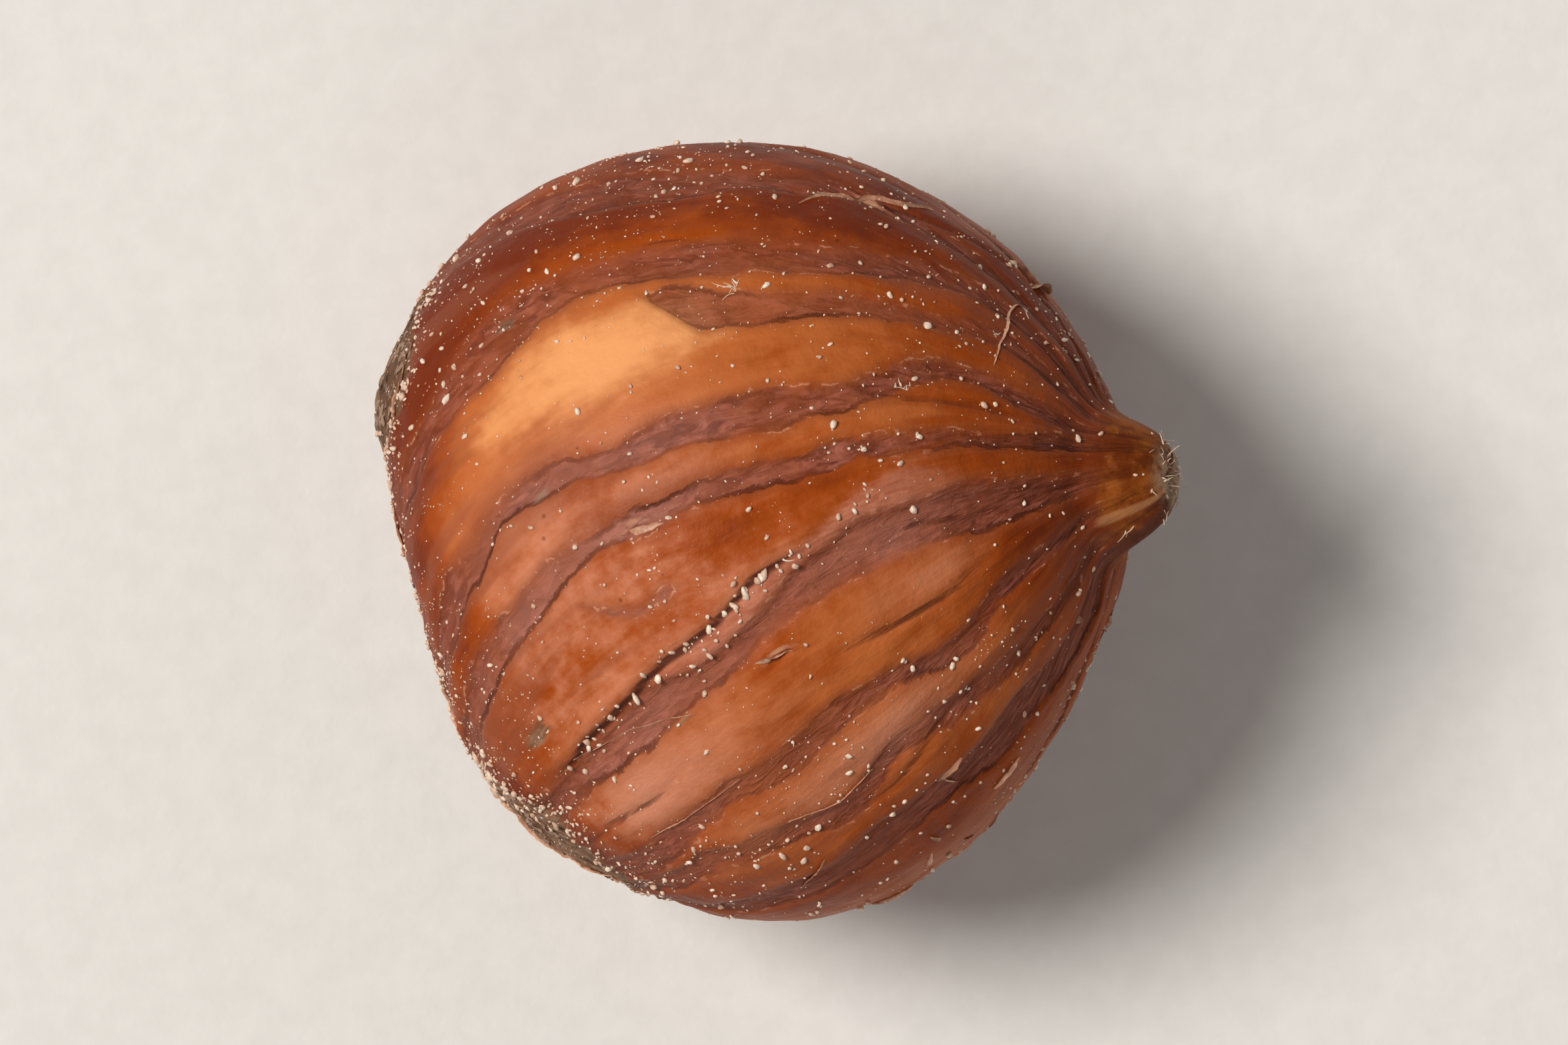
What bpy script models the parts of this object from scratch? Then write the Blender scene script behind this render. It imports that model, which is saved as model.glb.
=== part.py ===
"""A shelled hazelnut: the kernel in its brown skin, lying on its side.

One solid, because the kernel grew as one piece. The frame is metres with +Z
up. The blunt beak points along +X and rises a little, the broad base looks
along -X, and the origin is below the middle of the bounding box, on the
surface that the kernel rests on.
"""

import math

import bmesh
import bpy
from mathutils import Matrix, Vector, noise

# ------------------------------------------------------------- dimensions
# Distances are in metres and angles in degrees. A direction is given as
# (azimuth from +X towards +Y, elevation above the horizontal), seen from the
# middle of the body.
HALF_LENGTH = 0.00725  # middle to the shoulder, along X
HALF_WIDTH = 0.00740  # middle to the side, along Y
HALF_HEIGHT = 0.00710  # middle to the top, along Z

BEAK = (-7.0, 20.7)  # where the blunt tip points
BEAK_LENGTH = 0.00112  # how far it stands out of the body
BEAK_SPREAD = 8.9  # half angle that it covers, seen from the middle
BEAK_BLUNTNESS = 3.6  # 2 is a bell, higher is blunter
BEAK_ROOT_RISE = 0.00012  # the body draws up into its root
BEAK_ROOT_SPREAD = 15.0
SHOULDER_RISE = 0.00028  # the body swells towards the beak
SHOULDER_SPREAD = 29.0

BASE = (180.0, -5.0)  # the broad, flattened end
BASE_DISTANCE = 0.00645  # middle to the base
BASE_CRISPNESS = 16.0  # how sharply the side turns into the base
SCAR_DEPTH = 0.00022  # the corky scar sinks into the base
SCAR_SPREAD = 17.0

# Broad swells and flats of this kernel: direction, spread, height.
SWELLS = (
    ((130.0, 2.0), 34.0, 0.00045),
    ((100.0, 4.0), 24.0, 0.00006),
    ((318.0, 0.0), 34.0, -0.00050),
    ((228.0, 0.0), 26.0, -0.00025),
    ((280.0, 0.0), 20.0, 0.00008),
    ((20.0, -48.0), 30.0, -0.00015),
    ((215.0, 52.0), 26.0, -0.00012),
    ((149.0, 0.0), 7.5, 0.00062),
)
LUMP_HEIGHT = 0.00007  # shallow unevenness all over
LUMP_SIZE = 0.0032

REST_CUT = 0.00030  # depth of the small flat spot underneath
CUT_SNAP = 0.00004  # corners this near the flat spot's plane move onto it

SEGMENTS = 60  # round the kernel
RINGS = 48  # from beak to base
BEAK_DENSITY = 1.62  # above 1, rings crowd towards the beak

SKIN_COLOUR = (0.33, 0.10, 0.03, 1.0)
SKIN_ROUGHNESS = 0.45


# ------------------------------------------------------------------ shape
def direction(azimuth, elevation):
    a, e = math.radians(azimuth), math.radians(elevation)
    return Vector((math.cos(a) * math.cos(e), math.sin(a) * math.cos(e), math.sin(e)))


def bell(angle, spread, power=2.0):
    return math.exp(-((angle / spread) ** power))


def body_radius(d):
    """Distance from the middle of the body to its skin along the unit vector d."""
    r = 1.0 / math.sqrt(
        (d.x / HALF_LENGTH) ** 2 + (d.y / HALF_WIDTH) ** 2 + (d.z / HALF_HEIGHT) ** 2
    )
    for where, spread, height in SWELLS:
        r += height * bell(math.degrees(d.angle(direction(*where))), spread)
    off_beak = math.degrees(d.angle(direction(*BEAK)))
    r += SHOULDER_RISE * bell(off_beak, SHOULDER_SPREAD)
    r += BEAK_ROOT_RISE * bell(off_beak, BEAK_ROOT_SPREAD)
    r += BEAK_LENGTH * bell(off_beak, BEAK_SPREAD, BEAK_BLUNTNESS)
    # The base is a plane that blends into the side.
    towards_base = d.dot(direction(*BASE))
    if towards_base > 0.05:
        flat = BASE_DISTANCE / towards_base
        p = BASE_CRISPNESS
        r = r * (1.0 + (r / flat) ** p) ** (-1.0 / p)
    off_base = math.degrees(d.angle(direction(*BASE)))
    r -= SCAR_DEPTH * bell(off_base, SCAR_SPREAD)
    r += LUMP_HEIGHT * noise.noise(d * (HALF_WIDTH / LUMP_SIZE) + Vector((3.1, 1.7, 5.3)))
    return r


def kernel_mesh():
    bm = bmesh.new()
    # The sphere's poles go to the beak and opposite it, so that its rings can
    # crowd round the beak.
    bmesh.ops.create_uvsphere(bm, u_segments=SEGMENTS, v_segments=RINGS, radius=1.0)
    pole = direction(*BEAK)
    turn = Vector((0.0, 0.0, 1.0)).rotation_difference(pole).to_matrix()
    for v in bm.verts:
        share = v.co.normalized().angle(Vector((0.0, 0.0, 1.0))) / math.pi
        off_pole = math.pi * share**BEAK_DENSITY
        round_pole = math.atan2(v.co.y, v.co.x)
        d = turn @ Vector(
            (
                math.sin(off_pole) * math.cos(round_pole),
                math.sin(off_pole) * math.sin(round_pole),
                math.cos(off_pole),
            )
        )
        v.co = d * body_radius(d)

    # The small flat spot that it rests on.
    floor = min(v.co.z for v in bm.verts) + REST_CUT
    for v in bm.verts:
        if abs(v.co.z - floor) < CUT_SNAP:
            v.co.z = floor
    bmesh.ops.bisect_plane(
        bm,
        geom=bm.verts[:] + bm.edges[:] + bm.faces[:],
        dist=1e-7,
        plane_co=(0.0, 0.0, floor),
        plane_no=(0.0, 0.0, -1.0),
        clear_outer=True,
    )
    rim = [e for e in bm.edges if e.is_boundary]
    spot = bmesh.ops.holes_fill(bm, edges=rim, sides=0)["faces"]
    bmesh.ops.poke(bm, faces=spot)

    # The origin goes to the middle of the footprint, on the resting plane.
    xs = [v.co.x for v in bm.verts]
    ys = [v.co.y for v in bm.verts]
    middle = Vector(((min(xs) + max(xs)) / 2, (min(ys) + max(ys)) / 2, floor))
    bmesh.ops.translate(bm, verts=bm.verts, vec=-middle)
    bmesh.ops.recalc_face_normals(bm, faces=bm.faces)

    mesh = bpy.data.meshes.new("hazelnut_kernel")
    bm.to_mesh(mesh)
    bm.free()
    mesh.shade_smooth()
    mesh.set_sharp_from_angle(angle=math.radians(50))
    return mesh


def skin_material():
    material = bpy.data.materials.new("kernel_skin")
    material.use_nodes = True
    shader = material.node_tree.nodes["Principled BSDF"]
    shader.inputs["Base Color"].default_value = SKIN_COLOUR
    shader.inputs["Roughness"].default_value = SKIN_ROUGHNESS
    shader.inputs["Metallic"].default_value = 0.0
    material.diffuse_color = SKIN_COLOUR
    return material


# ------------------------------------------------------------------ scene
for old in list(bpy.data.objects):
    bpy.data.objects.remove(old, do_unlink=True)

collection = bpy.data.collections.new("hazelnut")
bpy.context.scene.collection.children.link(collection)

kernel = bpy.data.objects.new("hazelnut_kernel", kernel_mesh())
kernel.data.materials.append(skin_material())
kernel.matrix_world = Matrix.Identity(4)
collection.objects.link(kernel)
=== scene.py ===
"""Looks of a shelled hazelnut in its brown skin, on a pale floor.

The skin is one mesh whose grid lines run from the beak to the base along the
veins. Its relief is real geometry: swollen panels between sunken, wrinkled
veins, a fold, small tears, and the corky scar on the base. Loose grains,
flakes of skin, scales of cork and the fibres on the beak are separate pieces.
"""

import math

import bmesh
import bpy
import numpy as np
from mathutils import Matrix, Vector, noise


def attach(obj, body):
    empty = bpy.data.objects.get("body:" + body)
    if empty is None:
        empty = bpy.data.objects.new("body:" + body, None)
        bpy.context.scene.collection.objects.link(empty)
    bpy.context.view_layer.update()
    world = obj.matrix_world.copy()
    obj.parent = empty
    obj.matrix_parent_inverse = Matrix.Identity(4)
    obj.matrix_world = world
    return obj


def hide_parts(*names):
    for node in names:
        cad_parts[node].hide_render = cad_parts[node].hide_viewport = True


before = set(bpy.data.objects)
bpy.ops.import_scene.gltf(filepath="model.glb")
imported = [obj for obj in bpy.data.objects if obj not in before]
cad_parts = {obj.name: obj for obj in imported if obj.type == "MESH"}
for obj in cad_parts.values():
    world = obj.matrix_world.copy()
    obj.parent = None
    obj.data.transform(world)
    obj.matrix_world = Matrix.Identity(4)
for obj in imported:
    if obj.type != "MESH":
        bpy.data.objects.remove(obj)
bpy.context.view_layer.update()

MM = 0.001

# --------------------------------------------------------------- body shape
# The kernel's own shape, the same as the solid's. Lengths are in millimetres,
# and directions are (azimuth, elevation) in degrees from the body's middle.
CENTRE = np.array([-0.84687, -0.11918, 6.76099])
HALF = np.array([7.25, 7.40, 7.10])
BEAK = (-7.0, 20.7)
BASE = (180.0, -5.0)
SWELLS = (
    ((130.0, 2.0), 34.0, 0.45),
    ((100.0, 4.0), 24.0, 0.06),
    ((318.0, 0.0), 34.0, -0.50),
    ((228.0, 0.0), 26.0, -0.25),
    ((280.0, 0.0), 20.0, 0.08),
    ((20.0, -48.0), 30.0, -0.15),
    ((215.0, 52.0), 26.0, -0.12),
    ((149.0, 0.0), 7.5, 0.62),
)


def unit(azimuth, elevation):
    a, e = math.radians(azimuth), math.radians(elevation)
    return np.array([math.cos(a) * math.cos(e), math.sin(a) * math.cos(e), math.sin(e)])


def angle_to(d, where):
    """Degrees between the unit vectors d and a direction (azimuth, elevation)."""
    return np.degrees(np.arccos(np.clip(d @ unit(*where), -1.0, 1.0)))


def body_radius(d):
    r = 1.0 / np.sqrt(((d / HALF) ** 2).sum(-1))
    for where, spread, height in SWELLS:
        r = r + height * np.exp(-((angle_to(d, where) / spread) ** 2))
    off_beak = angle_to(d, BEAK)
    r = r + 0.28 * np.exp(-((off_beak / 29.0) ** 2))
    r = r + 0.12 * np.exp(-((off_beak / 15.0) ** 2))
    r = r + 1.12 * np.exp(-((off_beak / 8.9) ** 3.6))
    towards_base = d @ unit(*BASE)
    flat = 6.45 / np.maximum(towards_base, 0.05)
    r = np.where(towards_base > 0.05, r * (1.0 + (r / flat) ** 16.0) ** (-1.0 / 16.0), r)
    r = r - 0.22 * np.exp(-((angle_to(d, BASE) / 17.0) ** 2))
    offset = Vector((3.1, 1.7, 5.3))
    lumps = [noise.noise(Vector(p) + offset) for p in (d * (7.40 / 3.2)).tolist()]
    return r + 0.07 * np.array(lumps)


# -------------------------------------------------------------- fixed noise
_rng = np.random.default_rng(7)
_perm = np.concatenate([_rng.permutation(256)] * 3)
_grad = _rng.normal(size=(256, 3))
_grad /= np.linalg.norm(_grad, axis=1)[:, None]


def wave(p, seed=0):
    """Smooth noise between about -1 and 1 at the points p, one feature per unit."""
    p = np.asarray(p, float) + seed * 17.31
    cell = np.floor(p).astype(int)
    f = p - cell
    u = f * f * f * (f * (f * 6 - 15) + 10)
    total = np.zeros(len(p))
    for corner in range(8):
        o = np.array([corner & 1, corner >> 1 & 1, corner >> 2 & 1])
        c = (cell + o) & 255
        g = _grad[_perm[_perm[_perm[c[:, 0]] + c[:, 1]] + c[:, 2]]]
        w = np.prod(np.where(o == 1, u, 1 - u), axis=1)
        total += w * ((f - o) * g).sum(1)
    return total * 1.6


def waves(p, octaves, seed=0, gain=0.5):
    total, size = np.zeros(len(p)), 1.0
    for k in range(octaves):
        total += size * wave(np.asarray(p) * 2.07**k, seed + 31 * k)
        size *= gain
    return total


def step(low, high, x):
    """0 below low, 1 above high, smooth between."""
    s = np.clip((np.asarray(x, float) - low) / (high - low), 0.0, 1.0)
    return s * s * (3 - 2 * s)


# --------------------------------------------------------------- vein field
# Every vein lies close to a plane through the line from TIP to FOOT. psi is
# that plane's angle about the line, 0 where it faces up, and along goes from
# 0 at the tip to 1 at the foot.
TIP = unit(-4.53, 20.67)
FOOT = unit(-135.0, -20.0)
AXIS = (FOOT - TIP) / np.linalg.norm(FOOT - TIP)
UP = np.array([0.0, 0.0, 1.0]) - AXIS[2] * AXIS
UP /= np.linalg.norm(UP)
SIDE = np.cross(AXIS, UP)
CHORD_MIDDLE = (TIP + FOOT) / 2
HALF_CHORD = np.linalg.norm(FOOT - TIP) / 2
BODY = 7.3  # mean radius, mm


def arc(psi):
    """Unit vector towards the arc's bulge, the circle's middle, its radius and
    its first and last angle, for vein planes at psi degrees."""
    a = np.radians(np.asarray(psi, float))[..., None]
    out = np.cos(a) * UP + np.sin(a) * SIDE
    rise = -(out @ CHORD_MIDDLE)
    middle = CHORD_MIDDLE + rise[..., None] * out
    radius = np.hypot(HALF_CHORD, rise)
    return out, middle, radius, np.arctan2(-HALF_CHORD, -rise), np.arctan2(HALF_CHORD, -rise)


def on_sphere(along, psi):
    """Directions at the given shares along the arcs at psi degrees."""
    out, middle, radius, first, last = arc(psi)
    b = first + np.asarray(along, float) * (last - first)
    return middle + radius[..., None] * (np.cos(b)[..., None] * out + np.sin(b)[..., None] * AXIS)


def vein_place(d):
    """(along, psi) of the directions d."""
    q = d - TIP
    psi = np.degrees(np.arctan2(q @ SIDE, q @ UP))
    out, middle, _, first, last = arc(psi)
    v = d - middle
    b = np.arctan2(v @ AXIS, (v * out).sum(-1))
    return (b - first) / (last - first), psi


def wrapped(a):
    return (np.asarray(a) + 180.0) % 360.0 - 180.0


ROWS = np.linspace(0.0, 1.0, 401)


def track(points, ends=(0.0, 1.0)):
    """A smooth curve over ROWS through (along, value) points."""
    x, y = zip(*points)
    dense = np.interp(ROWS, x, y)
    kernel = np.hanning(19)
    kernel /= kernel.sum()
    return np.convolve(np.pad(dense, 9, mode="edge"), kernel, mode="valid")


def row_noise(per_unit, seed, amount):
    p = np.stack([ROWS * per_unit, np.full_like(ROWS, seed * 3.7), np.full_like(ROWS, 0.5)], 1)
    return amount * wave(p, seed)


# The veins seen from above: (along, upper edge, lower edge) in degrees of psi.
# dark is how strongly a vein is stained and deep how far it sinks, in mm.
SEEN_VEINS = (
    dict(dark=1.00, deep=0.05, edge=((0.00, 104, 100), (0.06, 98, 93), (0.14, 93, 88), (0.22, 88, 84), (0.30, 85, 80), (0.38, 83, 76), (0.46, 84, 77), (0.54, 85, 79), (0.66, 83, 78), (0.80, 82, 76), (1.0, 82, 72))),
    dict(dark=0.82, deep=0.05, edge=((0.00, 84, 78), (0.14, 81, 73), (0.21, 72, 66), (0.27, 67, 62), (0.32, 67, 61), (0.37, 67, 61), (0.43, 66, 62.5), (0.46, 67, 62), (0.485, 68, 60.5), (0.51, 66.5, 58.5), (0.54, 64, 58), (0.58, 61, 56.5), (0.70, 59, 54.5), (0.85, 60, 53), (1.0, 62, 50))),
    dict(dark=0.62, deep=0.03, edge=((0.00, 68, 60), (0.14, 67, 61), (0.18, 60, 56), (0.25, 59, 55), (0.30, 57.5, 53.3), (0.34, 59, 53), (0.365, 61, 54), (0.385, 61.5, 56), (0.41, 62, 60))),
    dict(dark=1.00, deep=0.07, edge=((0.00, 50, 40), (0.09, 47, 38), (0.15, 49, 44), (0.19, 48, 43), (0.26, 42, 37), (0.31, 42, 37), (0.36, 42, 37), (0.41, 42, 38), (0.45, 42, 38), (0.48, 43, 40), (0.51, 43, 40), (0.55, 44, 41), (0.60, 43, 39), (0.70, 42, 37), (0.85, 42, 35), (1.0, 42, 32))),
    dict(dark=1.00, deep=0.07, edge=((0.00, 38, 24), (0.05, 36, 26), (0.12, 30, 26), (0.18, 31, 27), (0.23, 31, 28), (0.28, 32, 28), (0.31, 31, 28), (0.35, 33, 29), (0.40, 33, 30), (0.44, 33, 30), (0.49, 34, 31), (0.53, 34, 30), (0.58, 33, 29), (0.70, 32, 27), (1.0, 33, 22))),
    dict(dark=0.75, deep=0.03, edge=((0.43, 21.4, 21.0), (0.46, 22.8, 21.2), (0.49, 22.6, 20.8), (0.515, 24.4, 22.4), (0.54, 28.2, 26.0), (0.56, 31.0, 30.0))),
    dict(dark=0.95, deep=0.14, edge=((0.00, 12, -2), (0.07, 10, -2), (0.11, 14, 1), (0.15, 18, 3), (0.20, 22, 6), (0.235, 25.7, 7.8), (0.28, 23.2, 9.6), (0.32, 20, 9.4), (0.36, 18.8, 9.8), (0.39, 18, 9.8), (0.43, 16.3, 8.6), (0.48, 15, 7), (0.55, 14, 6), (0.65, 12, 6), (0.80, 13, 4), (1.0, 14, 1))),
    dict(dark=0.95, deep=0.06, edge=((0.00, -12, -24), (0.10, -13, -21), (0.17, -9, -15), (0.22, -9, -14), (0.27, -12, -18), (0.31, -11, -17), (0.34, -8, -13), (0.40, -6, -11), (0.44, -7, -12), (0.50, -7, -13), (0.55, -7, -11), (0.62, -8, -13), (0.70, -9, -17), (1.0, -8, -22))),
    dict(dark=0.90, deep=0.06, edge=((0.00, -34, -48), (0.14, -36, -44), (0.21, -29, -38), (0.26, -27, -35), (0.33, -22, -29), (0.40, -20, -25), (0.48, -25, -31), (0.55, -20, -26), (0.63, -16, -22), (0.75, -20, -27), (1.0, -22, -34))),
    dict(dark=1.00, deep=0.08, edge=((0.00, -52, -80), (0.16, -53, -72), (0.23, -49, -66), (0.28, -41, -57), (0.34, -41, -57), (0.40, -38, -49), (0.46, -36, -47), (0.55, -37, -47), (0.63, -37, -47), (0.80, -38, -50), (1.0, -38, -54))),
)
# Thin dark lines: (along, psi).
SEEN_LINES = (
    ((0.33, 67.5), (0.37, 68), (0.40, 67.6), (0.44, 69)),
    ((0.14, 103), (0.18, 94), (0.22, 88), (0.27, 82), (0.33, 77)),
    ((0.09, 36), (0.14, 37), (0.22, 38.5), (0.28, 42)),
    ((0.15, 6.5), (0.20, 10.0), (0.235, 12.9), (0.27, 13.6), (0.30, 12.6)),
    ((0.22, -25), (0.29, -26), (0.35, -26), (0.43, -30), (0.49, -29)),
    ((0.20, -1), (0.26, -3), (0.33, -1), (0.40, 1)),
    ((0.55, 0), (0.61, -2), (0.68, -1), (0.75, -3)),
)


def hidden_veins():
    """Veins and thin lines like the seen ones, over the sides and underneath."""
    rng = np.random.default_rng(41)
    veins, lines = [], []
    at = 98.0
    while at < 293.0:
        _, _, radius, _, _ = arc(at)
        rise = -(arc(at)[0] @ CHORD_MIDDLE)
        per_degree = float(radius + rise) * BODY * math.pi / 180
        width = rng.uniform(0.26, 0.75) / per_degree
        start = 0.0 if rng.random() < 0.75 else rng.uniform(0.2, 0.4)
        end = 1.0 if rng.random() < 0.65 else rng.uniform(0.5, 0.8)
        middle = at + row_noise(4.0, int(rng.integers(1, 90)), rng.uniform(2.0, 4.5))
        swell = 0.75 + 0.5 * row_noise(7.0, int(rng.integers(1, 90)), 1.0)
        swell *= step(start - 0.001, start + 0.09, ROWS) if start else 1.0
        swell *= 1 - step(end - 0.09, end, ROWS) if end < 1 else 1.0
        pinch = np.where((ROWS < start) | (ROWS > end), 1.5, 0.0)
        half = width * swell / 2 - pinch
        veins.append((middle + half, middle - half, rng.uniform(0.7, 1.0), rng.uniform(0.04, 0.10)))
        gap = rng.uniform(8.0, 17.0) / max(per_degree, 0.07) * 0.117
        if rng.random() < 0.7:
            first = rng.uniform(0.1, 0.5)
            last = first + rng.uniform(0.15, 0.4)
            wander = at + gap * rng.uniform(0.35, 0.65) + row_noise(6.0, int(rng.integers(1, 90)), 3.0)
            lines.append((wander, first, min(last, 0.95)))
        at += width + gap
    return veins, lines


VEINS = []
FOLD = 6  # the seen vein whose upper edge is the fold
for number, vein in enumerate(SEEN_VEINS):
    upper = track([(a, hi) for a, hi, _ in vein["edge"]])
    lower = track([(a, lo) for a, _, lo in vein["edge"]])
    if number == FOLD:
        fold_line = upper
        share = track(((0.10, 0.0), (0.18, 0.15), (0.23, 0.40), (0.27, 0.40), (0.30, 0.26), (0.345, 0.18), (0.38, 0.36), (0.41, 0.50), (0.46, 0.46), (0.52, 0.28), (0.60, 0.12)))
        upper = upper - share * (upper - lower)
    first, last = vein["edge"][0][0], vein["edge"][-1][0]
    if last < 1.0:
        shut = step(last - 0.06, last, ROWS) * 3.0
        upper, lower = upper - shut, lower + shut
    if first > 0.0:
        shut = (1 - step(first, first + 0.04, ROWS)) * 3.0
        upper, lower = upper - shut, lower + shut
    VEINS.append((upper, lower, vein["dark"], vein["deep"]))
LINES = [(track(points), points[0][0], points[-1][0]) for points in SEEN_LINES]
more_veins, more_lines = hidden_veins()
VEINS += more_veins
LINES += more_lines
# Both edges of each vein waver on their own, and its stain comes and goes.
VEINS = [
    (
        upper + row_noise(15, 3 * k + 1, 1.1) + row_noise(43, 3 * k + 2, 0.55),
        lower + row_noise(17, 3 * k + 101, 1.1) + row_noise(41, 3 * k + 102, 0.55),
        dark * np.clip(0.86 + row_noise(6.0, k + 201, 0.55) + row_noise(19.0, k + 301, 0.25), 0.30, 1.0),
        deep,
    )
    for k, (upper, lower, dark, deep) in enumerate(VEINS)
]

FOLD_LINE = fold_line + row_noise(13, 401, 0.8) + row_noise(37, 402, 0.35)
# How strongly each vein's upper and lower edge is creased, along its length.
CRISP = {3: 0.12, 4: 0.25, 8: 0.15, 9: 0.20}
CREASES = [
    (
        np.clip(0.12 + CRISP.get(k, 0.0) + row_noise(9.0, k + 501, 0.95), 0.0, 1.0),
        np.clip(0.50 + CRISP.get(k, 0.0) + row_noise(9.0, k + 601, 0.95), 0.0, 1.0),
    )
    for k in range(len(VEINS))
]
ribbon_soft = 1 - 0.85 * step(0.15, 0.21, ROWS) * (1 - step(0.37, 0.43, ROWS))
CREASES[FOLD] = (CREASES[FOLD][0] * ribbon_soft, CREASES[FOLD][1])

# Small crescent tears whose upper lip stands up: (along, psi, length, lift).
TEARS = (
    (0.460, 31.0, 0.62, 0.075),
    (0.416, 5.3, 0.70, 0.080),
    (0.245, 84.5, 0.70, 0.050),
    (0.360, 150.0, 0.60, 0.080),
    (0.520, -96.0, 0.50, 0.080),
    (0.280, -128.0, 0.45, 0.070),
    (0.640, 118.0, 0.55, 0.075),
    (0.450, 196.0, 0.50, 0.070),
)
# Grey-green scuffs: (along, psi, length, width, strength).
SCUFFS = (
    (0.657, 18.1, 0.46, 0.20, 0.95),
    (0.512, 41.3, 0.34, 0.12, 0.60),
    (0.492, 63.5, 0.36, 0.20, 0.65),
    (0.525, 6.0, 0.40, 0.10, 0.70),
    (0.600, 96.0, 0.50, 0.20, 0.80),
    (0.560, -78.0, 0.46, 0.18, 0.85),
    (0.560, 172.0, 0.50, 0.18, 0.85),
)

# The corky scar: a disc on the base with two lobes that reach up its rim.
CORK = (((181.0, -10.0), 26.5), ((143.0, 5.0), 13.5), ((221.0, 4.0), 16.0), ((200.0, -26.0), 18.0), ((160.0, -3.0), 15.0), ((221.0, -17.0), 12.0))
BASE_OUT = unit(*BASE)
BASE_UP = np.array([0.0, 0.0, 1.0]) - BASE_OUT[2] * BASE_OUT
BASE_UP /= np.linalg.norm(BASE_UP)
BASE_SIDE = np.cross(BASE_OUT, BASE_UP)
BEAK_OUT = unit(*BEAK)
BEAK_UP = np.array([0.0, 0.0, 1.0]) - BEAK_OUT[2] * BEAK_OUT
BEAK_UP /= np.linalg.norm(BEAK_UP)
BEAK_SIDE = np.cross(BEAK_OUT, BEAK_UP)


def cork_depth(d):
    """Degrees inside the rim of the corky scar, negative outside it."""
    ragged = 3.0 * waves(d * 4.2, 3, 5) + 1.6 * wave(d * 12.0, 7) + 1.4 * wave(d * 23.0, 6)
    blobs = [size - angle_to(d, where) for where, size in CORK]
    joined = np.log(sum(np.exp(np.clip(b, -60, 40) / 2.5) for b in blobs)) * 2.5
    return joined + ragged


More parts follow.
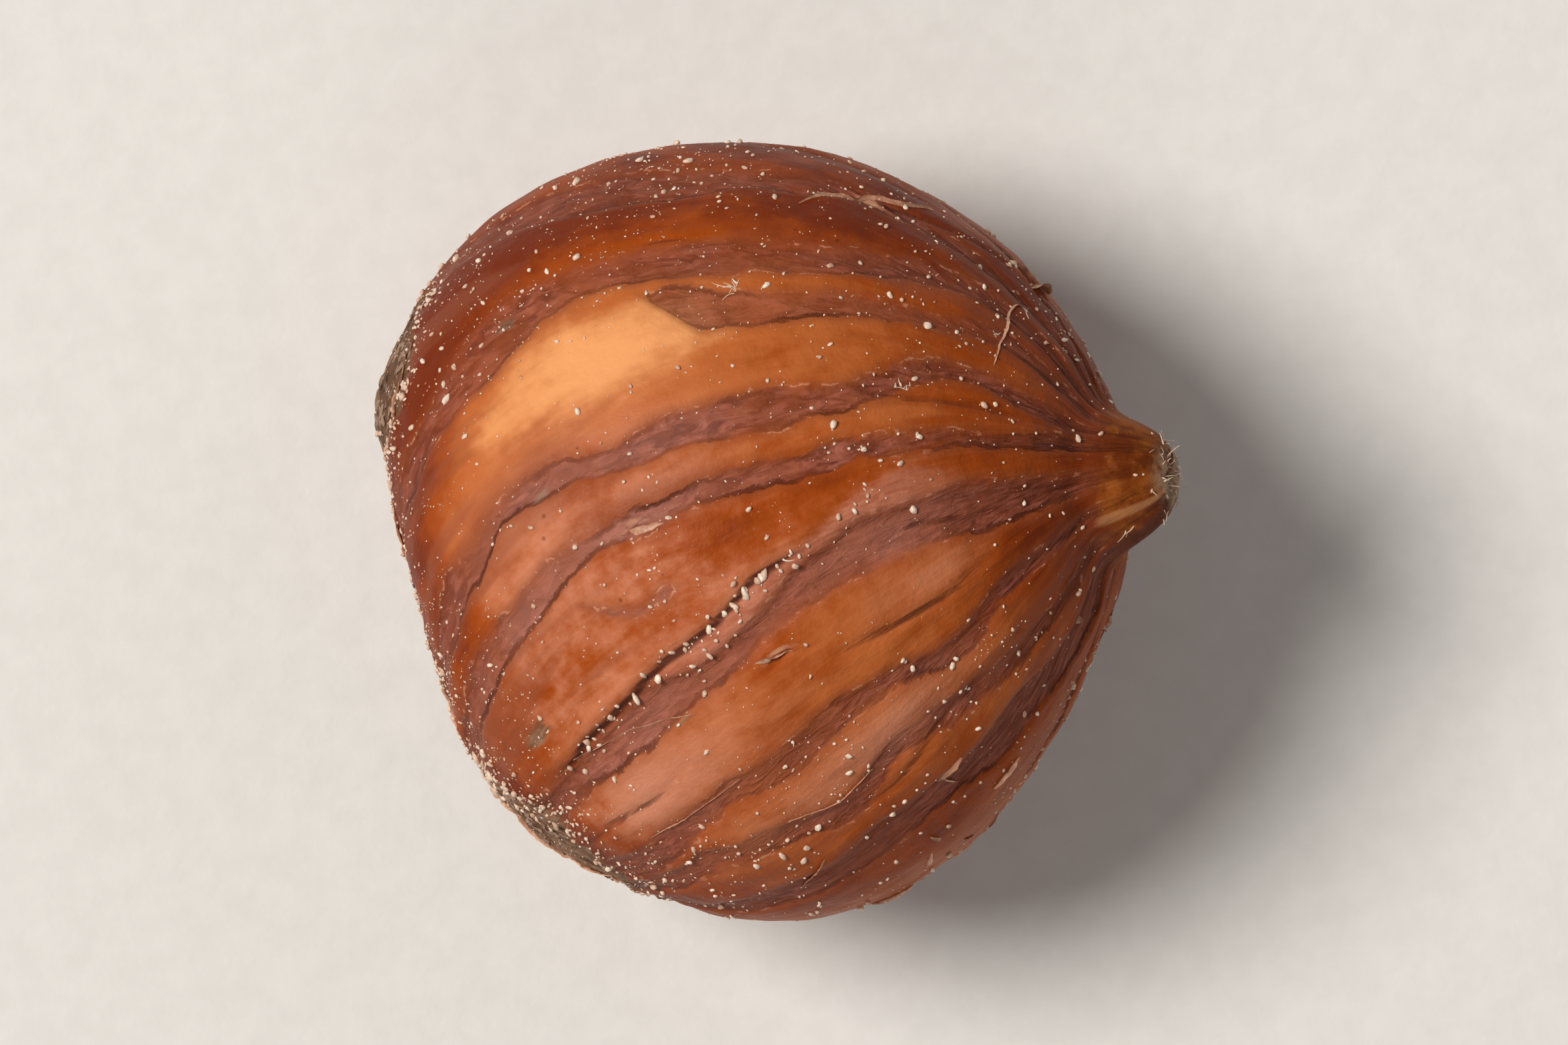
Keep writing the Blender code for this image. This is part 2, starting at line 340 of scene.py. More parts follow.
def surface(d):
    """The skin at the directions d: its points in mm and its named fields."""
    along, psi = vein_place(d)
    out, _, radius, first, last = arc(psi)
    off_chord = np.linalg.norm((d - TIP) - ((d - TIP) @ AXIS)[:, None] * AXIS, axis=1)
    per_degree = np.maximum(off_chord, 0.02) * BODY * math.pi / 180
    arc_length = (last - first) * radius * BODY
    round_it = np.radians(psi)
    flow = np.stack([6.7 * np.cos(round_it), 6.7 * np.sin(round_it), along * arc_length], 1)

    def at(curve):
        return np.interp(along, ROWS, curve)

    # Signed distance into the nearest vein, and what that vein is like there.
    inside = np.full(len(d), -9.0)
    dark, deep, crease = (np.zeros(len(d)) for _ in range(3))
    for (upper, lower, how_dark, how_deep), (crease_up, crease_down) in zip(VEINS, CREASES):
        middle, half = (at(upper) + at(lower)) / 2, (at(upper) - at(lower)) / 2
        off = wrapped(psi - middle)
        b = (half - np.abs(off)) * per_degree - 0.035
        nearer = b > inside
        inside = np.where(nearer, b, inside)
        dark = np.where(nearer, at(how_dark), dark)
        deep = np.where(nearer, how_deep, deep)
        crease = np.where(nearer, np.where(off > 0, at(crease_up), at(crease_down)), crease)
    inside = inside + 0.042 * wave(flow * [1.5, 1.5, 0.9], 13) + 0.030 * wave(flow * [3.6, 3.6, 2.4], 14)
    thin = np.full(len(d), 9.0)
    for curve, begin, end in LINES:
        past = np.maximum(np.maximum(begin - along, along - end), 0.0) * 18.0
        gap = np.hypot(wrapped(psi - at(curve)) * per_degree, past)
        gap = gap + 0.085 * (1 - step(0.0, 0.07, np.minimum(along - begin, end - along)))
        thin = np.minimum(thin, gap)

    cork = cork_depth(d)
    in_cork = step(-1.2, 1.6, cork)
    off_beak = angle_to(d, BEAK)
    beak = 1.0 - step(8.6, 12.0, off_beak)
    skin_only = (1 - in_cork) * (1 - 0.85 * beak)

    # Panels swell between the veins; the veins sink and carry wrinkles.
    away = np.maximum(-inside, 0.0)
    h = 0.070 * (1 - np.exp(-away / 0.40)) - 0.025
    h -= (0.7 * deep + 0.012) * step(-0.06, 0.16, inside)
    h += 0.022 * step(-0.02, 0.14, inside) * wave(flow * [3.8, 3.8, 0.9], 11)
    h += 0.014 * step(0.06, 0.25, inside) * wave(flow * [2.2, 2.2, 1.6], 12)
    h -= 0.034 * crease * np.exp(-(((inside + 0.01) / 0.075) ** 2))
    h += 0.013 * (0.3 + crease) * np.exp(-(((inside + 0.15) / 0.08) ** 2))
    h -= 0.034 * np.exp(-((thin / 0.11) ** 2))
    h += 0.010 * np.exp(-(((thin - 0.24) / 0.12) ** 2))
    # Shallow dents, puckers along the veins and a dry, slightly crumpled skin.
    h += 0.050 * wave(d * 4.2, 21) + 0.026 * wave(d * 9.5, 22)
    h += 0.015 * wave(flow * [1.1, 1.1, 0.35], 23) + 0.010 * wave(flow * [2.6, 2.6, 0.9], 24)
    crumple = 1 - np.abs(wave(d * 15.0 + 0.35 * wave(d * 9.0, 25)[:, None], 26))
    near_edges = np.exp(-away / 0.35)
    h += 0.016 * (crumple**4) * (0.25 + near_edges)

    # The fold: the panel above it overhangs a groove in a crisp lip, and the
    # skin below the groove is a smooth raised ribbon as far as the stain. The
    # groove also masks a painted shadow under the lip in the skin's colour.
    over = wrapped(psi - at(FOLD_LINE)) * per_degree
    reach = step(0.24, 0.35, along) * (1 - step(0.62, 0.74, along)) * (np.abs(over) < 3)
    h += reach * 0.075 * np.exp(-(((over - 0.13) / 0.20) ** 2))
    groove = reach * (0.44 + 0.56 * step(0.33, 0.39, along)) * np.exp(-(((over + 0.08) / 0.10) ** 2))
    h -= 0.085 * groove
    ribbon_at = -over / np.maximum((at(FOLD_LINE) - at(VEINS[FOLD][0])) * per_degree, 0.12)
    ribbon = step(0.17, 0.27, along) * (np.abs(over) < 3) * step(-0.02, 0.22, ribbon_at) * (1 - step(0.88, 1.25, ribbon_at))
    ribbon = ribbon * (1 - step(0.46, 0.58, along))
    h += 0.050 * ribbon

    torn, lifted = np.zeros(len(d)), np.zeros(len(d))
    for t_at, p_at, size, lift in TEARS:
        a = (along - t_at) * arc_length
        b = wrapped(psi - p_at) * per_degree + 0.55 * a * a - 0.10
        body = np.exp(-((a / size) ** 2) * 2.2)
        lip = step(-0.02, 0.06, b) * np.exp(-np.maximum(b, 0) / 0.15)
        slit = np.exp(-(((b + 0.06) / 0.065) ** 2))
        h += body * (lift * lip - 0.070 * slit)
        # torn marks each slit, which the skin's colour darkens as painted shadow.
        torn = np.maximum(torn, body * slit)
        lifted = np.maximum(lifted, body * np.exp(-(((b - 0.04) / 0.07) ** 2)))
    scuff = np.zeros(len(d))
    for s_at, p_at, size, width, strength in SCUFFS:
        a = (along - s_at) * arc_length / size
        b = wrapped(psi - p_at) * per_degree / width
        scuff = np.maximum(scuff, strength * np.exp(-(a * a + b * b)))
    scuff = scuff * (1 - in_cork)

    h = h * skin_only
    # Cork: thick, furrowed from the middle of the base to its rim, like bran.
    to_base = angle_to(d, BASE)
    spin = np.arctan2(d @ BASE_SIDE, d @ BASE_UP)
    rays = np.stack([9.5 * np.cos(spin), 9.5 * np.sin(spin), to_base * 0.055], 1)
    furrow = wave(rays, 31) + 0.6 * wave(rays * [2.3, 2.3, 2.0], 32)
    rough = waves(d * 17.0, 3, 33, 0.6)
    fibres = wave(rays * [3.6, 3.6, 2.6], 34)
    outward = step(2.0, 7.0, to_base)
    pit = 1 - step(0.0, 8.0, to_base)
    h += in_cork * (-0.02 + 0.036 * rough + outward * (0.050 * furrow + 0.022 * fibres) - 0.09 * (1 - step(4.0, 17.0, to_base)) - 0.12 * pit)
    rim = np.exp(-(((cork + 0.6) / 1.7) ** 2))
    h += rim * (0.016 + 0.040 * wave(d * 24.0, 35))

    # The beak is a short peg with a few ribs, one stronger ridge and a ragged end.
    turn = np.arctan2(d @ BEAK_SIDE, d @ BEAK_UP)
    girth = np.stack([2.6 * np.cos(turn), 2.6 * np.sin(turn), off_beak * 0.06], 1)
    flank = step(1.5, 5.0, off_beak) * (1 - step(9.5, 14.0, off_beak))
    h += 0.050 * flank * wave(girth, 36) + 0.010 * flank * wave(girth * 3.0, 37)
    ridge = np.exp(-((wrapped(np.degrees(turn) - RIDGE) / 10.0) ** 2)) * flank
    h += 0.050 * ridge
    crown = 1.0 - step(2.6, 5.6, off_beak)
    h += crown * (0.075 * waves(d * 24.0, 2, 38) - 0.11 * (1 - step(0.0, 3.0, off_beak)))

    points = d * (body_radius(d) + h)[:, None] + CENTRE
    # It lies on a small flat spot with a soft rim.
    z = points[:, 2]
    points[:, 2] = np.where(z < 0.6, (z + np.sqrt(z * z + 0.0016)) / 2 - 0.0004, z)
    points[:, 2] = np.maximum(points[:, 2], 0.0)

    def spot(s_at, p_at, size, width):
        return np.exp(-((wrapped(psi - p_at) / width) ** 2) - (((along - s_at) / size) ** 2))

    # The skin's paleness: mostly its own colour, partly a painted highlight and painted shade; rose is how pinkish a
    # pale part is.
    tone = 0.44 + 0.10 * wave(flow * [0.42, 0.42, 0.14], 51) + 0.08 * wave(d * 3.1, 52)
    # Partly the panel's own pale colour, partly a painted highlight: the upper-left panel, which faces the key light,
    # is made pale gold.
    tone += 0.54 * spot(0.42, 53.5, 0.115, 8.0) + 0.22 * spot(0.52, 50, 0.07, 4.5)
    tone -= 0.16 * spot(0.60, 53, 0.05, 6.0) + 0.34 * spot(0.66, 37, 0.050, 10.0)
    tone -= 0.12 * spot(0.54, 75, 0.10, 8.0)
    tone += 0.22 * spot(0.61, 0, 0.13, 6.5) + 0.07 * spot(0.60, 22, 0.12, 8.0)
    tone -= 0.14 * spot(0.34, 24, 0.10, 8.0) - 0.05 * spot(0.28, 35, 0.10, 4.0)
    tone -= 0.30 * spot(0.40, 76, 0.32, 13.0)
    tone -= 0.14 * spot(0.55, -40, 0.30, 14.0)
    tone += 0.30 * spot(0.48, 166, 0.20, 12.0) + 0.20 * spot(0.52, -112, 0.18, 10.0)
    tone += 0.16 * spot(0.40, 214, 0.16, 12.0)
    tone -= 0.34 * (1 - step(0.05, 0.30, along))
    tone -= 0.10 * step(0.80, 0.97, along)
    tone -= 0.24 * step(-10.0, -1.0, cork) + 0.20 * step(-26.0, -8.0, cork)
    tone -= 0.14 * spot(0.58, 24, 0.10, 6.0) + 0.12 * spot(0.31, 26, 0.06, 6.0)
    tone += 0.14 * spot(0.42, -18, 0.14, 5.0) + 0.14 * spot(0.25, 2.5, 0.07, 4.0)
    # Partly darker skin, partly painted shade: bands along the top and bottom rims, as the nut is seen from above, are
    # darkened.
    tone -= 0.30 * spot(0.42, 99, 0.30, 12.0) + 0.12 * spot(0.50, -55, 0.30, 10.0)
    rose = spot(0.62, -1, 0.13, 8.0) + 0.9 * spot(0.60, 22, 0.12, 9.0) + 0.85 * spot(0.50, 36, 0.12, 9.0)
    rose += 0.7 * spot(0.44, 23, 0.07, 7.0) + 0.6 * spot(0.37, -18, 0.08, 5.0)
    rose += 0.6 * spot(0.26, 13, 0.07, 5.0) + 0.6 * spot(0.50, 11, 0.08, 5.0) + 0.7 * spot(0.255, 22, 0.05, 4.5)
    rose += 0.45 * spot(0.25, 2.5, 0.08, 4.0)
    rose += 0.7 * spot(0.36, 15, 0.09, 4.0) + 0.5 * spot(0.50, -20, 0.16, 6.0)
    rose += 0.8 * spot(0.60, 120, 0.18, 14.0) + 0.8 * spot(0.50, -84, 0.20, 10.0) + 0.6 * spot(0.60, 210, 0.2, 16.0)
    fields = dict(
        vein=np.clip(inside, -1.2, 0.8),
        vein_dark=dark * (1 - 0.50 * spot(0.235, 11.6, 0.034, 1.8)),
        crease=crease,
        line=np.clip(thin, 0.0, 1.0),
        groove=groove,
        ribbon=ribbon,
        tear=torn,
        lip=lifted,
        scuff=scuff,
        cork=np.clip(cork, -20, 20),
        beak=beak,
        ridge=ridge,
        crown=crown,
        tone=tone,
        rose=np.clip(rose, 0.0, 1.0),
        relief=h,
        flow=flow,
        along=along,
        psi=psi,
        to_base=to_base,
        off_beak=off_beak,
        rays=rays,
        pit=np.maximum(1 - step(1.0, 12.0, to_base), 0.75 * np.exp(-((angle_to(d, (141.0, 5.0)) / 13.0) ** 2))),
    )
    return points, fields


RIDGE = 30.0  # where the ridge runs round the beak, in degrees from its top

# ---------------------------------------------------------------- the skin
ROUND = 436  # grid lines from beak to base
DOWN = 228  # steps along each line


def skin_grid():
    """Even spacing round the middle, and rings that crowd at the beak."""
    fine = np.linspace(-180.0, 180.0, 3601)
    out, _, radius, _, _ = arc(fine)
    reach = radius - out @ CHORD_MIDDLE
    share = np.concatenate([[0], np.cumsum((reach[1:] + reach[:-1]) / 2)])
    share = 0.65 * share / share[-1] + 0.35 * (fine + 180) / 360
    psi = np.interp(np.arange(ROUND) / ROUND, share, fine)
    s = np.arange(1, DOWN) / DOWN
    along = s - 0.055 * np.sin(2 * math.pi * s) * (1 - s) ** 1.5 - 0.012 * np.sin(math.pi * s)
    return along, psi


def add_mesh(name, points, faces, smooth=True):
    mesh = bpy.data.meshes.new(name)
    mesh.from_pydata((np.asarray(points) * MM).tolist(), [], faces)
    mesh.validate()
    if smooth:
        mesh.shade_smooth()
    piece = bpy.data.objects.new(name, mesh)
    bpy.context.scene.collection.objects.link(piece)
    return piece


def add_field(mesh, name, values):
    if values.ndim == 2:
        attribute = mesh.attributes.new(name, "FLOAT_VECTOR", "POINT")
        attribute.data.foreach_set("vector", values.astype(np.float32).ravel())
    else:
        attribute = mesh.attributes.new(name, "FLOAT", "POINT")
        attribute.data.foreach_set("value", values.astype(np.float32))


def build_skin():
    along, psi = skin_grid()
    a, p = np.meshgrid(along, psi, indexing="ij")
    d = on_sphere(a.ravel(), p.ravel())
    d = np.vstack([d, TIP, FOOT])
    d /= np.linalg.norm(d, axis=1)[:, None]
    points, fields = surface(d)
    rows, n = len(along), len(psi)
    index = np.arange(rows * n).reshape(rows, n)
    after = np.roll(index, -1, axis=1)
    faces = np.stack([index[:-1], after[:-1], after[1:], index[1:]], -1).reshape(-1, 4).tolist()
    tip, foot = rows * n, rows * n + 1
    faces += [[tip, int(j), int(i)] for i, j in zip(index[0], after[0])]
    faces += [[foot, int(i), int(j)] for i, j in zip(index[-1], after[-1])]
    skin = add_mesh("kernel_skin", points, faces)
    shown = "vein vein_dark crease line groove ribbon tear lip scuff cork beak ridge crown tone rose relief flow rays pit"
    for name in shown.split():
        add_field(skin.data, name, fields[name])
    return skin, d, points, fields


# ---------------------------------------------------------- node materials
class Net:
    """A short way to write a node tree."""

    def __init__(self, name):
        self.material = bpy.data.materials.new(name)
        self.material.use_nodes = True
        self.tree = self.material.node_tree
        self.shader = self.tree.nodes["Principled BSDF"]

    def node(self, kind, **settings):
        made = self.tree.nodes.new(kind)
        for key, value in settings.items():
            setattr(made, key, value)
        return made

    def put(self, socket, value):
        if isinstance(value, bpy.types.NodeSocket):
            self.tree.links.new(value, socket)
        elif isinstance(value, (tuple, list)) and socket.type == "RGBA" and len(value) == 3:
            socket.default_value = (*value, 1.0)
        else:
            socket.default_value = value

    def field(self, name, output="Fac"):
        return self.node("ShaderNodeAttribute", attribute_name=name).outputs[output]

    def math(self, operation, a, b=0.0, c=0.0, clamp=False):
        made = self.node("ShaderNodeMath", operation=operation, use_clamp=clamp)
        for socket, value in zip(made.inputs, (a, b, c)):
            self.put(socket, value)
        return made.outputs[0]

    def add(self, *values):
        total = values[0]
        for value in values[1:]:
            total = self.math("ADD", total, value)
        return total

    def times(self, *values):
        total = values[0]
        for value in values[1:]:
            total = self.math("MULTIPLY", total, value)
        return total

    def ramp(self, value, low, high, to_low=0.0, to_high=1.0):
        made = self.node("ShaderNodeMapRange", interpolation_type="SMOOTHSTEP")
        for name, v in (("Value", value), ("From Min", low), ("From Max", high), ("To Min", to_low), ("To Max", to_high)):
            self.put(made.inputs[name], v)
        return made.outputs["Result"]

    def mix(self, share, a, b, blend="MIX"):
        made = self.node("ShaderNodeMix", data_type="RGBA", blend_type=blend)
        self.put(made.inputs[0], share)
        self.put(made.inputs[6], a)
        self.put(made.inputs[7], b)
        return made.outputs[2]

    def scaled(self, vector, by):
        made = self.node("ShaderNodeVectorMath", operation="MULTIPLY")
        self.put(made.inputs[0], vector)
        self.put(made.inputs[1], by)
        return made.outputs[0]

    def noise(self, vector, scale, detail=2.0, rough=0.5, distortion=0.0, output=0):
        made = self.node("ShaderNodeTexNoise")
        self.put(made.inputs["Vector"], vector)
        for name, value in (("Scale", scale), ("Detail", detail), ("Roughness", rough), ("Distortion", distortion)):
            self.put(made.inputs[name], value)
        return made.outputs[output]

    def cells(self, vector, scale, feature="F1", output="Distance"):
        made = self.node("ShaderNodeTexVoronoi", feature=feature)
        self.put(made.inputs["Vector"], vector)
        self.put(made.inputs["Scale"], scale)
        return made.outputs[output]

    def place(self):
        """Object coordinates in millimetres."""
        return self.scaled(self.node("ShaderNodeTexCoord").outputs["Object"], (1000.0, 1000.0, 1000.0))

    def bump(self, height, distance=MM, strength=1.0, normal=None):
        made = self.node("ShaderNodeBump")
        self.put(made.inputs["Strength"], strength)
        self.put(made.inputs["Distance"], distance)
        self.put(made.inputs["Height"], height)
        if normal is not None:
            self.put(made.inputs["Normal"], normal)
        return made.outputs["Normal"]

    def finish(self, **inputs):
        for name, value in inputs.items():
            self.put(self.shader.inputs[name.replace("_", " ")], value)
        return self.material


def skin_material():
    n = Net("hazelnut_skin")
    mm = n.place()
    flow = n.field("flow", "Vector")
    vein = n.field("vein")
    crease = n.field("crease")
    cork = n.field("cork")
    beak = n.field("beak")

    # Panels: deep red-brown to amber and tan, with soft blotches and streaks.
    blotch = n.noise(mm, 0.6, 2.0, 0.5, 0.5)
    mottle = n.noise(mm, 2.9, 3.0, 0.62)
    streak = n.noise(n.scaled(flow, (2.0, 2.0, 0.42)), 1.0, 3.0, 0.6, 0.6)
    comb = n.noise(n.scaled(flow, (7.0, 7.0, 1.2)), 1.0, 2.0, 0.55, 0.5)
    how_pale = n.add(
        n.field("tone"),
        n.times(n.add(blotch, -0.5), 0.42),
        n.times(n.add(mottle, -0.5), 0.20),
        n.times(n.add(streak, -0.5), 0.34),
        n.times(n.add(comb, -0.5), 0.12),
    )
    panel = n.mix(n.ramp(how_pale, 0.02, 0.30), (0.165, 0.021, 0.0025), (0.325, 0.056, 0.0050))
    panel = n.mix(n.ramp(how_pale, 0.26, 0.56), panel, (0.470, 0.121, 0.029))
    panel = n.mix(n.ramp(how_pale, 0.54, 0.98), panel, (0.790, 0.335, 0.125))
    rosy = n.times(n.field("rose"), n.ramp(n.add(how_pale, n.times(n.add(mottle, -0.5), 0.20)), 0.20, 0.62))
    panel = n.mix(n.times(rosy, 0.85), panel, (0.595, 0.240, 0.147))
    # Painted shade: darker and redder in the hollows of the relief. Also darker beside a vein, in streaks.
    panel = n.mix(n.ramp(n.field("relief"), -0.01, -0.09, 0.0, 0.45), panel, (0.150, 0.030, 0.010))
    hug = n.times(n.ramp(vein, -0.30, 0.0), n.ramp(streak, 0.30, 0.60, 0.15, 0.60))
    panel = n.mix(hug, panel, (0.245, 0.058, 0.020))
    smear = n.noise(n.scaled(flow, (0.85, 0.85, 0.11)), 1.0, 3.0, 0.58, 0.5)
    smear = n.times(n.ramp(smear, 0.50, 0.64, 0.0, 0.50), n.ramp(how_pale, 0.80, 0.50))
    panel = n.mix(smear, panel, (0.255, 0.070, 0.034))
    # Pores: sparse tiny dark dots.
    pore = n.ramp(n.cells(mm, 1.15), 0.070, 0.030)
    panel = n.mix(n.times(pore, 0.5), panel, (0.075, 0.018, 0.006))

    # Veins: purple-brown stain, dusty in streaks, soft or creased at the edge.
    ragged = n.times(n.add(n.noise(n.scaled(flow, (4.6, 4.6, 2.4)), 1.0, 4.0, 0.66), -0.5), 0.30)
    into = n.add(vein, ragged)
    soft = n.ramp(crease, 0.2, 0.9, 0.150, 0.045)
    stain = n.times(n.ramp(into, n.math("MULTIPLY", soft, -1.0), soft), n.field("vein_dark"))
    fibre = n.noise(n.scaled(flow, (5.6, 5.6, 1.5)), 1.0, 3.0, 0.66, 0.9)
    vein_colour = n.mix(n.ramp(fibre, 0.36, 0.66), (0.120, 0.0260, 0.0160), (0.365, 0.113, 0.073))
    vein_colour = n.mix(n.ramp(mottle, 0.44, 0.66, 0.0, 0.6), vein_colour, (0.215, 0.048, 0.019))
    vein_colour = n.mix(n.times(n.field("rose"), 0.60), vein_colour, (0.415, 0.178, 0.134))
    thinned = n.ramp(n.noise(n.scaled(flow, (1.3, 1.3, 0.5)), 1.0, 3.0, 0.6), 0.36, 0.58, 0.96, 0.66)
    colour = n.mix(n.times(stain, thinned), panel, vein_colour)
    # The ribbon below the fold is smooth and brownish pink.
    ribbon_colour = n.mix(n.ramp(fibre, 0.34, 0.68), (0.370, 0.112, 0.062), (0.510, 0.188, 0.112))
    colour = n.mix(n.times(n.field("ribbon"), 0.85), colour, ribbon_colour)
    # A dark crease on the vein's edge, and here and there a pale thin ridge.
    apart = n.math("ABSOLUTE", n.add(into, -0.005))
    edge = n.times(n.ramp(apart, 0.066, 0.014), crease, n.ramp(streak, 0.34, 0.56, 0.20, 1.0))
    colour = n.mix(n.times(edge, 0.80), colour, (0.070, 0.0145, 0.0080))
    hem = n.ramp(n.math("ABSOLUTE", n.add(into, 0.060)), 0.034, 0.008)
    hem = n.times(hem, n.ramp(mottle, 0.53, 0.62), n.ramp(crease, 0.75, 0.35))
    colour = n.mix(n.times(hem, 0.55), colour, (0.600, 0.270, 0.160))

    # Thin lines, painted shadow in the groove under the fold and in the tears' slits, the tears' pale lips, scuffs.
    line_edge = n.add(n.field("line"), n.times(n.add(comb, -0.5), 0.12))
    thread = n.times(n.ramp(line_edge, 0.090, 0.015), n.ramp(streak, 0.30, 0.62, 0.25, 1.0))
    colour = n.mix(n.times(thread, 0.80), colour, (0.080, 0.018, 0.009))
    # Painted shadow: the groove under the fold's overhanging lip is darkened.
    colour = n.mix(n.ramp(n.field("groove"), 0.30, 0.85, 0.0, 0.92), colour, (0.050, 0.0125, 0.008))
    # Painted shadow: the slit under each tear's lifted lip is darkened.
    colour = n.mix(n.ramp(n.field("tear"), 0.30, 0.90, 0.0, 0.85), colour, (0.080, 0.018, 0.010))
    colour = n.mix(n.ramp(n.field("lip"), 0.30, 0.90, 0.0, 0.70), colour, (0.700, 0.360, 0.215))
    worn = n.add(n.field("scuff"), n.times(n.add(fibre, -0.5), 2.2))
    scuff_colour = n.mix(n.ramp(comb, 0.38, 0.62), (0.095, 0.062, 0.036), (0.255, 0.175, 0.110))
    worn = n.times(n.ramp(worn, 0.22, 0.75), n.ramp(n.field("scuff"), 0.10, 0.45))
    colour = n.mix(n.times(worn, 0.72), colour, scuff_colour)

    # The beak is amber, darker where it leaves the body, scurfy at its end.
    beak_colour = n.mix(n.ramp(n.add(blotch, n.times(n.add(mottle, -0.5), 0.8)), 0.36, 0.68), (0.130, 0.023, 0.0025), (0.285, 0.075, 0.009))
    colour = n.mix(n.times(beak, 0.92), colour, beak_colour)
    colour = n.mix(n.ramp(n.field("ridge"), 0.60, 0.98, 0.0, 0.40), colour, (0.620, 0.300, 0.130))
    crown = n.times(n.field("crown"), n.ramp(mottle, 0.36, 0.58))
    colour = n.mix(n.times(crown, 0.85), colour, (0.480, 0.330, 0.215))

    # Cork: dull grey-brown and fibrous, combed outwards, darkest in the middle, with painted shade in its furrows and
    # hollows.
    bran = n.noise(mm, 5.0, 4.0, 0.72)
    rays = n.field("rays", "Vector")
    combing = n.noise(n.scaled(rays, (3.0, 3.0, 2.2)), 1.0, 4.0, 0.66, 0.4)
    wide = n.noise(n.scaled(rays, (1.0, 1.0, 1.2)), 1.0, 3.0, 0.6, 0.3)
    # Painted shade: the relief term makes the cork lighter where it stands up and darker in its furrows and sunken
    # middle.
    cork_tone_and_shade = n.add(n.times(combing, 0.50), n.times(bran, 0.32), n.times(wide, 0.30), n.times(n.field("relief"), 1.1))
    cork_colour = n.mix(n.ramp(cork_tone_and_shade, 0.40, 0.62), (0.100, 0.048, 0.028), (0.285, 0.165, 0.104))
    cork_colour = n.mix(n.ramp(cork_tone_and_shade, 0.60, 0.84), cork_colour, (0.390, 0.258, 0.180))
    cork_colour = n.mix(n.ramp(blotch, 0.44, 0.64, 0.0, 0.5), cork_colour, (0.235, 0.092, 0.044))
    cork_colour = n.mix(n.times(n.field("pit"), 0.80), cork_colour, (0.055, 0.023, 0.013))
    dissolve = n.add(cork, n.times(n.add(mottle, -0.5), 7.0), n.times(n.add(comb, -0.5), 9.0), n.times(n.add(bran, -0.5), 4.0))
    in_cork = n.ramp(dissolve, -2.2, 1.6)
    colour = n.mix(in_cork, colour, cork_colour)

    # Dust: fine pale scurf, thick near the cork and in creases.
    near = n.ramp(cork, -14.0, -1.0, 0.0, 0.08)
    patch = n.ramp(n.noise(mm, 0.8, 2.0, 0.6), 0.46, 0.72, 0.045, 0.125)
    fleck = n.ramp(n.math("SUBTRACT", n.cells(mm, 6.5), n.add(patch, near)), 0.030, -0.02)
    fleck = n.times(fleck, n.ramp(comb, 0.46, 0.54), 0.55)
    colour = n.mix(fleck, colour, (0.620, 0.400, 0.265))

    # Gloss: satin skin, duller in veins, matt cork.
    rough = n.add(0.43, n.times(n.add(mottle, -0.5), 0.24), n.times(stain, 0.08))
    rough = n.math("MAXIMUM", rough, n.times(in_cork, 0.92))
    rough = n.math("MAXIMUM", rough, n.times(fleck, 1.2))
    rough = n.math("MINIMUM", rough, 0.95)

    # Fine bump, in millimetres: wrinkles along the veins, a leathery grain.
    wrinkle = n.times(n.add(fibre, -0.5), n.ramp(into, -0.06, 0.10, 0.012, 0.060))
    grain = n.times(n.add(n.noise(mm, 9.0, 2.0, 0.6), -0.5), 0.0100)
    leather = n.times(n.add(mottle, -0.5), 0.028)
    combed = n.times(n.add(comb, -0.5), 0.012)
    cut = n.times(n.add(thread, edge), -0.022)
    bran_bump = n.times(n.add(bran, combing, -1.0), in_cork, 0.085)
    height = n.add(wrinkle, grain, leather, combed, cut, bran_bump, n.times(fleck, 0.012))
    return n.finish(
        Base_Color=colour,
        Roughness=rough,
        Normal=n.bump(height),
        IOR=1.45,
        Specular_IOR_Level=0.065,
    )


skin, skin_dirs, skin_points, skin_fields = build_skin()
skin.data.materials.append(skin_material())
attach(skin, "root")
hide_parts("hazelnut_kernel")


# ------------------------------------------------------------ loose pieces
dice = np.random.default_rng(2611)


def normed(v):
    return v / np.linalg.norm(v, axis=-1, keepdims=True)


def perch(d):
    """The skin under the directions d: points, outward normals, two tangents, fields."""
    points, fields = surface(d)
    across = normed(np.cross(d, [0.31, 0.12, 0.94]))
    up = np.cross(d, across)
    near = 0.009
    one = surface(normed(d + near * across))[0] - points
    two = surface(normed(d + near * up))[0] - points
    normal = normed(np.cross(one, two))
    normal *= np.sign((normal * d).sum(1))[:, None]
    u = normed(one - (one * normal).sum(1)[:, None] * normal)
    return points, normal, u, np.cross(normal, u), fields


def ball_template(fineness):
    bm = bmesh.new()
    bmesh.ops.create_icosphere(bm, subdivisions=fineness, radius=1.0)
    verts = np.array([v.co[:] for v in bm.verts])
    faces = np.array([[v.index for v in f.verts] for f in bm.faces])
    bm.free()
    return verts, faces


def scatter(count, weigh, among=7, near=None, spread=0.0):
    """Random directions, likelier where weigh(d, points, fields) is high."""
    d = dice.normal(size=(count * among, 3))
    if near is not None:
        d = near + spread * d
    d = normed(d)
    points, fields = surface(d)
    weight = weigh(d, points, fields)
    weight[points[:, 2] < 0.25] = 0.0
    pick = dice.choice(len(d), size=count, replace=False, p=weight / weight.sum())
    return d[pick]


